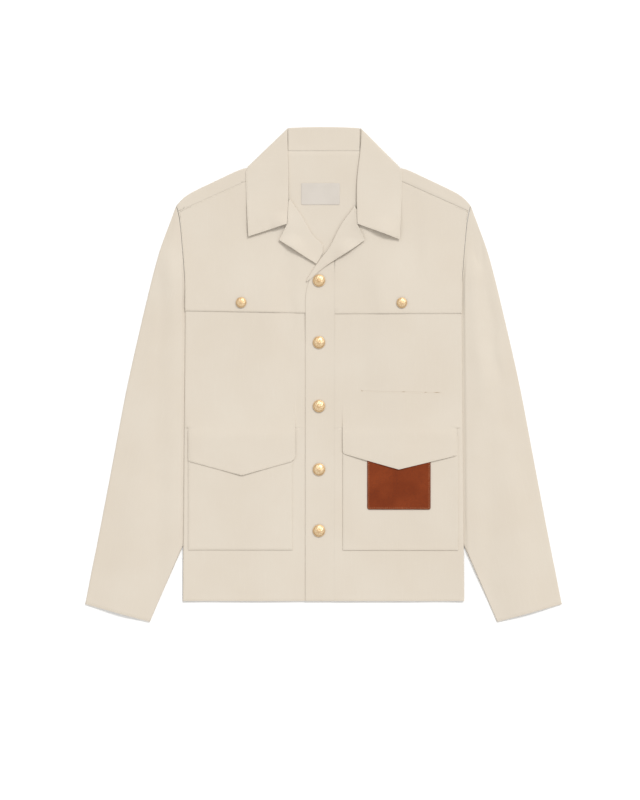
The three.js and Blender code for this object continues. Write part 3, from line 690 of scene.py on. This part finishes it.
# Effects that several materials use
def twill_group():
    """Slanting ribs of a cotton twill, with threads that are not all equally thick."""
    tree, given, out = new_group(
        "twill ribs",
        [("Vector", "NodeSocketVector", None), ("Ribs per Metre", "NodeSocketFloat", 900.0)],
        [("Height", "NodeSocketFloat"), ("Slub", "NodeSocketFloat")],
    )
    scaled = node(tree, "ShaderNodeVectorMath", operation="SCALE")
    tree.links.new(given.outputs["Vector"], scaled.inputs[0])
    tree.links.new(given.outputs["Ribs per Metre"], scaled.inputs["Scale"])
    parts = node(tree, "ShaderNodeSeparateXYZ")
    tree.links.new(scaled.outputs["Vector"], parts.inputs["Vector"])
    slant = math_node(tree, "MULTIPLY_ADD", parts.outputs["Y"], 0.55, parts.outputs["X"])
    rib = math_node(tree, "SINE", math_node(tree, "MULTIPLY", slant, math.tau))
    pick = math_node(tree, "SINE", math_node(tree, "MULTIPLY", parts.outputs["Y"], math.tau * 1.3))
    ribbed = math_node(tree, "MULTIPLY_ADD", pick, 0.35, rib)
    stretched = node(tree, "ShaderNodeMapping")
    stretched.inputs["Scale"].default_value = (1.1, 0.03, 1.0)
    tree.links.new(scaled.outputs["Vector"], stretched.inputs["Vector"])
    slub = noise_node(tree, stretched.outputs["Vector"], 1.0, 3.0, 0.6)
    height = math_node(tree, "MULTIPLY", ribbed, mapped(tree, 0.3, 0.7, slub, 0.5, 1.2))
    tree.links.new(height, out.inputs["Height"])
    tree.links.new(slub, out.inputs["Slub"])
    return tree


def mottle_group():
    """Soft clouds and small flecks, for cloth, leather and metal that are never one even colour."""
    tree, given, out = new_group(
        "mottling",
        [("Vector", "NodeSocketVector", None), ("Cloud Size", "NodeSocketFloat", 20.0),
         ("Fleck Size", "NodeSocketFloat", 400.0)],
        [("Clouds", "NodeSocketFloat"), ("Flecks", "NodeSocketFloat")],
    )
    clouds = node(tree, "ShaderNodeTexNoise")
    flecks = node(tree, "ShaderNodeTexNoise")
    for made, size, detail in ((clouds, "Cloud Size", 4.0), (flecks, "Fleck Size", 2.0)):
        tree.links.new(given.outputs["Vector"], made.inputs["Vector"])
        tree.links.new(given.outputs[size], made.inputs["Scale"])
        made.inputs["Detail"].default_value = detail
    tree.links.new(mapped(tree, 0.35, 0.65, clouds.outputs["Fac"]), out.inputs["Clouds"])
    tree.links.new(mapped(tree, 0.3, 0.7, flecks.outputs["Fac"]), out.inputs["Flecks"])
    return tree


def seam_group():
    """What sewing does beside a turned edge: puckers, a pressed channel, and wear on the very edge."""
    tree, given, out = new_group(
        "sewn edge",
        [("Vector", "NodeSocketVector", None), ("Channel", "NodeSocketFloat", 2.2)],
        [("Height", "NodeSocketFloat"), ("Edge Wear", "NodeSocketFloat")],
    )
    edge = node(tree, "ShaderNodeAttribute", attribute_name="edge_mm")
    near = mapped(tree, 0.5, 11.0, edge.outputs["Fac"], 1.0, 0.0)
    pucker = noise_node(tree, given.outputs["Vector"], 95.0, 1.0, 0.4)
    channel = math_node(tree, "SUBTRACT", edge.outputs["Fac"], given.outputs["Channel"])
    channel = math_node(tree, "ABSOLUTE", channel)
    pressed = mapped(tree, 0.0, 0.9, channel, -0.22, 0.0)
    height = math_node(tree, "MULTIPLY_ADD", pucker, near, pressed)
    worn = noise_node(tree, given.outputs["Vector"], 240.0, 3.0, 0.6)
    rim = mapped(tree, 0.0, 1.1, edge.outputs["Fac"], 1.0, 0.0)
    wear = math_node(tree, "MULTIPLY", rim, mapped(tree, 0.42, 0.62, worn))
    tree.links.new(height, out.inputs["Height"])
    tree.links.new(wear, out.inputs["Edge Wear"])
    return tree


# The mouth of the inside pocket, a slit sewn shut through the left front: its ends, and the places where the painted
# shade in its gap is deeper
SLIT = {"x0": 61, "y0": -25, "x1": 187, "y1": -27.8, "hook": 4.0, "hook_reach": 1.6}
SLIT_SHADE_SPOTS = [{"x": 61, "reach": 3.0}, {"x": 128, "reach": 3.5}, {"x": 163, "reach": 2.5}, {"x": 181, "reach": 6}]


def bell(tree, value, middle, reach):
    """1 at the middle, falling off to both sides."""
    away = math_node(tree, "ABSOLUTE", math_node(tree, "SUBTRACT", value, middle))
    return mapped(tree, 0.0, reach, away, 1.0, 0.0)


def slit_group():
    """How near a point is to the slit line, and how deep the painted shade of that line's gap is there."""
    tree, given, out = new_group(
        "sewn slit",
        [("Vector", "NodeSocketVector", None), ("Half Width mm", "NodeSocketFloat", 0.7)],
        [("Line", "NodeSocketFloat"), ("Painted Shade", "NodeSocketFloat")],
    )
    parts = node(tree, "ShaderNodeSeparateXYZ")
    tree.links.new(given.outputs["Vector"], parts.inputs["Vector"])
    x = math_node(tree, "MULTIPLY", parts.outputs["X"], 1 / MM)
    y = math_node(tree, "MULTIPLY", parts.outputs["Y"], 1 / MM)
    middle = mapped(tree, SLIT["x0"], SLIT["x1"], x, SLIT["y0"], SLIT["y1"])
    hook = math_node(tree, "MULTIPLY", bell(tree, x, SLIT["x0"] - 2, SLIT["hook_reach"]), SLIT["hook"])
    middle = math_node(tree, "ADD", middle, hook)
    away = math_node(tree, "ABSOLUTE", math_node(tree, "SUBTRACT", y, middle))
    share = math_node(tree, "DIVIDE", away, given.outputs["Half Width mm"])
    line = mapped(tree, 0.2, 1.0, share, 1.0, 0.0)
    within = bell(tree, x, (SLIT["x0"] + SLIT["x1"]) / 2, (SLIT["x1"] - SLIT["x0"]) / 2 + 2)
    line = math_node(tree, "MULTIPLY", line, mapped(tree, 0.0, 0.02, within))
    # Painted shade in the slit's gap: a little all along it, deeper at its listed spots
    painted_shade = 0.16
    for mark in SLIT_SHADE_SPOTS:
        painted_shade = math_node(tree, "ADD", painted_shade, bell(tree, x, mark["x"], mark["reach"]))
    tree.links.new(line, out.inputs["Line"])
    tree.links.new(math_node(tree, "MINIMUM", painted_shade, 1.0), out.inputs["Painted Shade"])
    return tree


TWILL = twill_group()
MOTTLE = mottle_group()
SEWN_EDGE = seam_group()
SEWN_SLIT = slit_group()

CREAM = shaded(tint(229, 219, 204), 0.81)
CREAM_DEEP = shaded(tint(224, 211, 193), 0.79)
CREAM_PALE = shaded(tint(238, 230, 217), 0.83)
# Painted shade: the colour given to the shaded gap of the sewn slit
CREAM_PAINTED_SHADE = shaded(tint(176, 150, 122), 0.8)


def jacket_cloth(name, turn, slit=False):
    """Heavy cream cotton twill. The turn lays its grain along the piece, in degrees."""
    material, tree, shader = new_material(name)
    place = node(tree, "ShaderNodeTexCoord").outputs["Object"]
    grain = node(tree, "ShaderNodeMapping")
    grain.inputs["Rotation"].default_value = (0, 0, math.radians(turn))
    tree.links.new(place, grain.inputs["Vector"])
    twill = place_group(tree, TWILL, grain.outputs["Vector"], Ribs_per_Metre=900.0)
    mottle = place_group(tree, MOTTLE, grain.outputs["Vector"], Cloud_Size=9.0, Fleck_Size=520.0)
    sewn = place_group(tree, SEWN_EDGE, place, Channel=STITCH_INSET)
    clouds = math_node(tree, "MULTIPLY", mottle.outputs["Clouds"], 0.35)
    base = mix_colour(tree, clouds, CREAM, CREAM_DEEP)
    flecks = math_node(tree, "MULTIPLY", mapped(tree, 0.55, 0.75, twill.outputs["Slub"]), 0.22)
    base = mix_colour(tree, flecks, base, CREAM_PALE)
    worn = math_node(tree, "MULTIPLY", sewn.outputs["Edge Wear"], 0.6)
    base = mix_colour(tree, worn, base, CREAM_PALE)
    height = sewn.outputs["Height"]
    if slit:
        mouth = place_group(tree, SEWN_SLIT, place, Half_Width_mm=0.75)
        # With a slit, painted shade colours the slit's line and a bump presses that line in
        shade = math_node(tree, "MULTIPLY", mouth.outputs["Line"], mouth.outputs["Painted Shade"])
        base = mix_colour(tree, shade, base, CREAM_PAINTED_SHADE)
        height = math_node(tree, "MULTIPLY_ADD", mouth.outputs["Line"], -0.35, height)
    tree.links.new(base, shader.inputs["Base Color"])
    rough = mapped(tree, 0.0, 1.0, mottle.outputs["Flecks"], 0.82, 0.95)
    tree.links.new(rough, shader.inputs["Roughness"])
    shader.inputs["Sheen Weight"].default_value = 0.08
    shader.inputs["Sheen Roughness"].default_value = 0.5
    shader.inputs["Specular IOR Level"].default_value = 0.25
    ribs = bump(tree, None, twill.outputs["Height"], 0.00005, 0.6)
    bump(tree, shader, height, 0.0006, 0.5, ribs)
    return material


def thread_cloth(name, colour, pale):
    """Twisted sewing thread."""
    material, tree, shader = new_material(name)
    place = node(tree, "ShaderNodeTexCoord").outputs["Object"]
    mottle = place_group(tree, MOTTLE, place, Cloud_Size=60.0, Fleck_Size=2500.0)
    tree.links.new(mix_colour(tree, mottle.outputs["Flecks"], colour, pale), shader.inputs["Base Color"])
    tree.links.new(mapped(tree, 0.0, 1.0, mottle.outputs["Clouds"], 0.5, 0.7), shader.inputs["Roughness"])
    shader.inputs["Sheen Weight"].default_value = 0.1
    bump(tree, shader, mottle.outputs["Flecks"], 0.00008, 0.5)
    return material


def patch_leather():
    """Vegetable tanned leather: pebbled grain, darker burnished edges and small scuffs."""
    material, tree, shader = new_material("patch leather")
    place = node(tree, "ShaderNodeTexCoord").outputs["Object"]
    mottle = place_group(tree, MOTTLE, place, Cloud_Size=38.0, Fleck_Size=900.0)
    sewn = place_group(tree, SEWN_EDGE, place, Channel=3.0)
    cells = node(tree, "ShaderNodeTexVoronoi", feature="SMOOTH_F1")
    tree.links.new(place, cells.inputs["Vector"])
    cells.inputs["Scale"].default_value = 750.0
    base = mix_colour(tree, mottle.outputs["Clouds"], shaded(tint(128, 52, 14), 0.8), shaded(tint(143, 62, 22), 0.8))
    pores = math_node(tree, "MULTIPLY", mapped(tree, 0.3, 0.7, cells.outputs["Distance"]), 0.35)
    base = mix_colour(tree, pores, base, shaded(tint(92, 38, 18), 0.8))
    edge = node(tree, "ShaderNodeAttribute", attribute_name="edge_mm")
    burnished = mapped(tree, 0.0, 1.6, edge.outputs["Fac"], 0.75, 0.0)
    base = mix_colour(tree, burnished, base, shaded(tint(84, 34, 17), 0.8))
    scuffs = math_node(tree, "MULTIPLY", sewn.outputs["Edge Wear"], 0.4)
    base = mix_colour(tree, scuffs, base, shaded(tint(178, 104, 66), 0.8))
    tree.links.new(base, shader.inputs["Base Color"])
    tree.links.new(mapped(tree, 0.0, 1.0, mottle.outputs["Flecks"], 0.42, 0.62), shader.inputs["Roughness"])
    shader.inputs["Specular IOR Level"].default_value = 0.14
    pebbles = bump(tree, None, cells.outputs["Distance"], 0.00012, 0.5)
    bump(tree, shader, sewn.outputs["Height"], 0.0004, 0.5, pebbles)
    return material


def label_cloth():
    """Fine pale woven label with no lettering."""
    material, tree, shader = new_material("label cloth")
    place = node(tree, "ShaderNodeTexCoord").outputs["Object"]
    twill = place_group(tree, TWILL, place, Ribs_per_Metre=2200.0)
    mottle = place_group(tree, MOTTLE, place, Cloud_Size=30.0, Fleck_Size=1500.0)
    sewn = place_group(tree, SEWN_EDGE, place, Channel=1.6)
    clouds = math_node(tree, "MULTIPLY", mottle.outputs["Clouds"], 0.4)
    base = mix_colour(tree, clouds, shaded(tint(222, 214, 204), 0.8), shaded(tint(212, 204, 193), 0.8))
    tree.links.new(base, shader.inputs["Base Color"])
    tree.links.new(mapped(tree, 0.0, 1.0, mottle.outputs["Flecks"], 0.55, 0.75), shader.inputs["Roughness"])
    shader.inputs["Sheen Weight"].default_value = 0.15
    weave = bump(tree, None, twill.outputs["Height"], 0.00003, 0.5)
    bump(tree, shader, sewn.outputs["Height"], 0.0003, 0.5, weave)
    return material


def button_brass():
    """Cast brass, rubbed bright on its raised parts, and darker and rougher in the groove inside its rim and on its
    low outer flank and base.
    """
    material, tree, shader = new_material("button brass")
    place = node(tree, "ShaderNodeTexCoord").outputs["Object"]
    mottle = place_group(tree, MOTTLE, place, Cloud_Size=140.0, Fleck_Size=1800.0)
    groove_and_foot = node(tree, "ShaderNodeAttribute", attribute_name="groove_and_foot").outputs["Fac"]
    base = mix_colour(tree, mottle.outputs["Clouds"], tint(246, 221, 182), tint(238, 208, 164))
    # darker and rougher in the groove inside the rim and on the low outer flank and base
    darkened = math_node(tree, "MULTIPLY", groove_and_foot, 0.7)
    base = mix_colour(tree, darkened, base, tint(172, 132, 82))
    tree.links.new(base, shader.inputs["Base Color"])
    rubbed = mapped(tree, 0.0, 1.0, mottle.outputs["Flecks"], 0.42, 0.55)
    tree.links.new(math_node(tree, "MULTIPLY_ADD", groove_and_foot, 0.2, rubbed), shader.inputs["Roughness"])
    shader.inputs["Metallic"].default_value = 1.0
    bump(tree, shader, mottle.outputs["Flecks"], 0.00004, 0.4)
    return material


def floor_paper():
    material, tree, shader = new_material("floor paper")
    place = node(tree, "ShaderNodeTexCoord").outputs["Object"]
    mottle = place_group(tree, MOTTLE, place, Cloud_Size=3.0, Fleck_Size=300.0)
    clouds = math_node(tree, "MULTIPLY", mottle.outputs["Clouds"], 0.5)
    base = mix_colour(tree, clouds, (0.92, 0.92, 0.92, 1), (0.9, 0.9, 0.9, 1))
    tree.links.new(base, shader.inputs["Base Color"])
    shader.inputs["Roughness"].default_value = 0.9
    return material


# The cloth pieces: most in one jacket cloth, a few with a finish of their own
BODY_CLOTH = jacket_cloth("jacket cloth", 0)
MATERIALS = {
    "sleeve_right": jacket_cloth("right sleeve cloth", 13.5),
    "sleeve_left": jacket_cloth("left sleeve cloth", -13.5),
    "collar": jacket_cloth("collar cloth", 90),
    "front_left": jacket_cloth("left front cloth", 0, slit=True),
    "leather_patch": patch_leather(),
    "neck_label": label_cloth(),
}
THREAD_CREAM = thread_cloth("cream thread", shaded(tint(222, 211, 192), 0.8), shaded(tint(238, 230, 215), 0.84))
THREAD_TAN = thread_cloth("tan thread", shaded(tint(222, 170, 124), 0.85), shaded(tint(236, 194, 150), 0.88))
BRASS = button_brass()

for row in CLOTH:
    cloth_piece = make_cloth(row)
    dress(cloth_piece, MATERIALS.get(row["node"], BODY_CLOTH))
    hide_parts(row["node"])
PIECES = {row["node"]: row for row in CLOTH}

# Rows of stitching: the piece, where along its edges the row runs, and how far in it is
STITCH = make_stitch()


def hem(point):
    return point.y < HEM_Y + 6


def side_edge(point):
    return abs(point.x) > 212 and point.y < YOKE_Y


def flap_edge(point):
    return point.y < SLIT_Y - 1 and abs(point.x) > 28


def pocket_edge(point):
    return point.y < SLIT_Y - 16


def yoke_edge(point):
    return point.y < YOKE_Y + 2


def armhole(point):
    return abs(point.x) > 212 and point.y > ARMHOLE_Y - 20


def shoulder_seam(point):
    return abs(point.x) > 122 and point.y > 250


def leaf_edge(point):
    return point.y < 330 and not -64 < point.x < 64


def leaf_end(point):
    return point.y < 262


def lapel_edge(point):
    return point.y < 300


def front_edge(point):
    return point.x < FRONT_EDGE_X + 6 and point.y < 150


def band_seam(point):
    return point.x > PLACKET_X - 3


def everywhere(point):
    return True


EDGE_ROWS = [
    {"name": "hem_stitches_right", "node": "lower_front_right", "keep": hem, "inset": 2.4},
    {"name": "hem_stitches_left", "node": "lower_front_left", "keep": hem, "inset": 2.4},
    {"name": "hem_stitches_back", "node": "back", "keep": hem, "inset": 2.4},
    {"name": "hem_stitches_band", "node": "placket", "keep": hem, "inset": 2.4},
    {"name": "flap_stitches_right", "node": "front_right", "keep": flap_edge, "inset": 2.0},
    {"name": "flap_stitches_left", "node": "front_left", "keep": flap_edge, "inset": 2.0},
    {"name": "pocket_stitches_right", "node": "lower_pocket_right", "keep": pocket_edge, "inset": 1.6},
    {"name": "pocket_stitches_left", "node": "lower_pocket_left", "keep": pocket_edge, "inset": 1.6},
    {"name": "yoke_stitches_right", "node": "yoke_right", "keep": yoke_edge, "inset": 1.8},
    {"name": "yoke_stitches_left", "node": "yoke_left", "keep": yoke_edge, "inset": 1.8},
    {"name": "armhole_stitches_right", "node": "yoke_right", "keep": armhole, "inset": 1.8},
    {"name": "armhole_stitches_left", "node": "yoke_left", "keep": armhole, "inset": 1.8},
    {"name": "shoulder_stitches_right", "node": "yoke_right", "keep": shoulder_seam, "inset": 1.8},
    {"name": "shoulder_stitches_left", "node": "yoke_left", "keep": shoulder_seam, "inset": 1.8},
    {"name": "collar_stitches", "node": "collar", "keep": leaf_edge, "inset": 2.2},
    {"name": "lapel_stitches_right", "node": "lapel_right", "keep": lapel_edge, "inset": 2.2},
    {"name": "lapel_stitches_left", "node": "lapel_left", "keep": lapel_edge, "inset": 2.2},
    {"name": "front_edge_stitches", "node": "placket", "keep": front_edge, "inset": 2.2},
    {"name": "band_stitches", "node": "placket", "keep": band_seam, "inset": 1.6},
    {"name": "cuff_stitches_right", "node": "sleeve_right", "keep": lambda p: p.y < -340, "inset": 2.4},
    {"name": "cuff_stitches_left", "node": "sleeve_left", "keep": lambda p: p.y < -340, "inset": 2.4},
]
for line in EDGE_ROWS:
    row = PIECES[line["node"]]
    sew(line["name"], edge_row(row, line["keep"], line["inset"]), THREAD_CREAM)
sew(
    "patch_stitches", edge_row(PIECES["leather_patch"], everywhere, 2.4, 3.4), THREAD_TAN,
    length=2.7, thread=0.9,
)
sew(
    "label_stitches", edge_row(PIECES["neck_label"], everywhere, 1.6, 2.6), THREAD_CREAM,
    length=1.9, thread=0.24,
)
slit_row = straight_row(PIECES["front_left"], SLIT["x0"], SLIT["y0"] - 1.6, SLIT["x1"], SLIT["y1"] - 1.6)
sew("slit_stitches", slit_row, THREAD_CREAM)

# Buttons
BUTTONS = [f"button_{i}" for i in range(1, 6)] + ["chest_button_right", "chest_button_left"]
DOME = [
    # share of the radius, share of the height
    (1.0, 0.14), (0.97, 0.3), (0.9, 0.42), (0.84, 0.4), (0.78, 0.52), (0.6, 0.76), (0.4, 0.9), (0.2, 0.98),
]
FACETS = 8
RELIEF = 0.2          # depth between the facets, as a share of the height


def make_button(name, radius, height):
    """A domed shank button: rolled rim, a groove inside it, and a dome cut in broad facets."""
    deselect()
    bpy.ops.mesh.primitive_cylinder_add(
        vertices=4 * FACETS, radius=0.62 * radius, depth=0.08 * height, location=(0, 0, 0.04 * height),
        end_fill_type="NGON",
    )
    button = bpy.context.active_object
    button.name = name
    bpy.ops.object.mode_set(mode="EDIT")
    bpy.ops.mesh.select_mode(type="FACE")
    shape = bmesh.from_edit_mesh(button.data)
    bpy.ops.mesh.select_all(action="DESELECT")
    for face in shape.faces:
        if face.normal.z > 0.9:
            face.select_set(True)
    bmesh.update_edit_mesh(button.data)
    width = 0.62
    level = 0.08
    for share, top in DOME:
        bpy.ops.mesh.extrude_region_move(TRANSFORM_OT_translate={"value": (0, 0, (top - level) * height)})
        grow = share / width
        bpy.ops.transform.resize(value=(grow, grow, 1), center_override=(0, 0, 0))
        width = share
        level = top
    bpy.ops.mesh.inset(thickness=0.1 * radius)
    bpy.ops.transform.translate(value=(0, 0, 0.02 * height))
    bpy.ops.object.mode_set(mode="OBJECT")
    for vert in button.data.vertices:
        reach = math.hypot(vert.co.x, vert.co.y) / radius
        if 0.15 < reach < 0.82 and vert.co.z > 0.5 * height:
            around = math.atan2(vert.co.y, vert.co.x) * FACETS
            depth = 0.5 - 0.5 * math.cos(around + (math.pi if reach > 0.5 else 0))
            vert.co.z -= RELIEF * height * depth
    finish_modifier(button, "SUBSURF", levels=2, render_levels=2)
    # 1 in the groove inside the rim and on the low outer flank and base, where the brass is made darker and rougher
    layer = button.data.attributes.new("groove_and_foot", "FLOAT", "POINT")
    for vert in button.data.vertices:
        reach = math.hypot(vert.co.x, vert.co.y) / radius
        groove = math.exp(-(((reach - 0.83) / 0.05) ** 2))
        below = ease(vert.co.z / height, 0.28, 0.1)
        layer.data[vert.index].value = max(groove, below)
    smooth_by_angle(button, 60)
    return button


def put(piece, x, y, z, tilt=0.0, turn=0.0):
    """Writes the place into the mesh and leaves the object at the origin."""
    move = Matrix.Translation((x, y, z))
    lean = Matrix.Rotation(tilt, 4, "X")
    spin = Matrix.Rotation(turn, 4, "Z")
    piece.data.transform(move @ lean @ spin)
    piece.location = (0, 0, 0)


for number, name in enumerate(BUTTONS):
    low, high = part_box(name)
    radius = (high.x - low.x) / 2
    button = make_button(name + "_brass", radius, high.z - low.z)
    middle = (low + high) / 2
    seat = laid(Vector((middle.x, middle.y, low.z)))
    put(button, middle.x, middle.y, seat.z, math.radians(2.0 * math.sin(number * 2.3)), 0.37 * number)
    dress(button, BRASS)
    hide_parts(name)

# Floor, light and camera
CENTRE = Vector((-5.6, -39.6, 0)) * MM
CAMERA_HEIGHT = 3.5556
bpy.ops.object.select_all(action="DESELECT")
bpy.ops.mesh.primitive_plane_add(size=14, location=(0, 0, -0.0004))
floor = bpy.context.active_object
floor.name = "floor"
floor.data.materials.append(floor_paper())

world = bpy.data.worlds.new("studio")
bpy.context.scene.world = world
world.use_nodes = True
sky = world.node_tree
sky.nodes.clear()
background = sky.nodes.new("ShaderNodeBackground")
world_out = sky.nodes.new("ShaderNodeOutputWorld")
sky.links.new(background.outputs["Background"], world_out.inputs["Surface"])
direction = node(sky, "ShaderNodeTexCoord").outputs["Generated"]
split = node(sky, "ShaderNodeSeparateXYZ")
sky.links.new(direction, split.inputs["Vector"])
glow = mapped(sky, 0.0, 0.9, split.outputs["Z"], 0.3, 1.02)
sky.links.new(glow, background.inputs["Strength"])
warm = mix_colour(sky, mapped(sky, 0.0, 0.45, split.outputs["Z"]), (1.0, 0.8, 0.62, 1), (1.0, 0.995, 0.985, 1))
sky.links.new(warm, background.inputs["Color"])


def add_sun(name, azimuth, elevation, strength, angle):
    lamp = bpy.data.lights.new(name, "SUN")
    lamp.energy = strength
    lamp.angle = math.radians(angle)
    thing = bpy.data.objects.new(name, lamp)
    thing.rotation_euler = (0, math.radians(90 - elevation), math.radians(azimuth))
    bpy.context.scene.collection.objects.link(thing)
    return thing


add_sun("softbox", 62, 48, 1.75, 17)

lens = bpy.data.cameras.new("camera")
lens.sensor_width = 36
lens.sensor_height = 45
lens.sensor_fit = "HORIZONTAL"
lens.lens = 36 * CAMERA_HEIGHT / 1.024
lens.clip_end = 50
camera = bpy.data.objects.new("camera", lens)
camera.location = CENTRE + Vector((0, 0, CAMERA_HEIGHT))
bpy.context.scene.collection.objects.link(camera)
bpy.context.scene.camera = camera

bpy.context.scene.view_settings.view_transform = "Standard"
bpy.context.scene.view_settings.look = "None"
